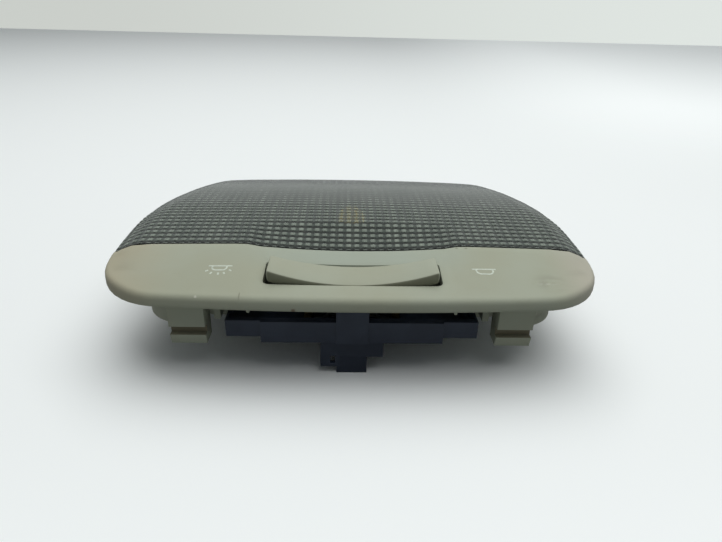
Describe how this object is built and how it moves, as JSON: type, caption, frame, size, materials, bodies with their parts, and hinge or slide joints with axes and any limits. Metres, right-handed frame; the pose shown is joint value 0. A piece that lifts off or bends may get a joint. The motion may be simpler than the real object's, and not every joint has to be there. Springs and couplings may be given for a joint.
{
  "type": "vehicle interior light",
  "caption": "Roof-mounted car interior light with a smoked prismatic lens, a beige bezel with a finger scoop and a three-position rocker switch",
  "frame": {"origin": "centre of the bounding box in plan, at the lowest point, which is the lug under the connector and the two rear posts", "axes": "+Z towards the room through the lens, +X to the right seen with the rocker in front, +Y from the rocker towards the rear edge"},
  "size_m": [0.145, 0.1032, 0.0358],
  "materials": {
    "beige_moulding": "fine matt moulded plastic, grey-beige",
    "smoked_lens": "glossy smoked clear plastic",
    "reflector_metal": "bright bent sheet",
    "dark_moulding": "dark blue-grey moulded plastic",
    "pale_moulding": "pale heat-resistant moulding",
    "bulb_glass": "clear bulb glass",
    "filament": "drawn wire",
    "contact_brass": "rolled and stamped strip",
    "spring_steel": "spring steel strip and plated screws"
  },
  "bodies": {
    "base": {"housing": "beige_moulding", "lens": "smoked_lens", "reflector": "reflector_metal", "switch_carrier": "dark_moulding", "bulb_holder": "pale_moulding", "bulb_glass": "bulb_glass", "bulb_filament": "filament", "bulb_leads": "filament", "bulb_contact_left": "contact_brass", "bulb_contact_right": "contact_brass", "terminal_supply": "contact_brass", "terminal_ground": "contact_brass", "terminal_door": "contact_brass", "switch_strip": "contact_brass", "detent_leaf": "spring_steel", "rear_clip": "spring_steel", "carrier_screw_left": "spring_steel", "carrier_screw_right": "spring_steel"},
    "rocker": {"rocker": "beige_moulding", "contact_bridge": "contact_brass"}
  },
  "joints": [
    {"name": "rocker_tilt", "type": "hinge", "parent": "base", "child": "rocker", "pos_m": [0, -0.0392, 0.0249], "axis": [0, 1, 0], "range_deg": [-6.5, 6.5]}
  ]
}
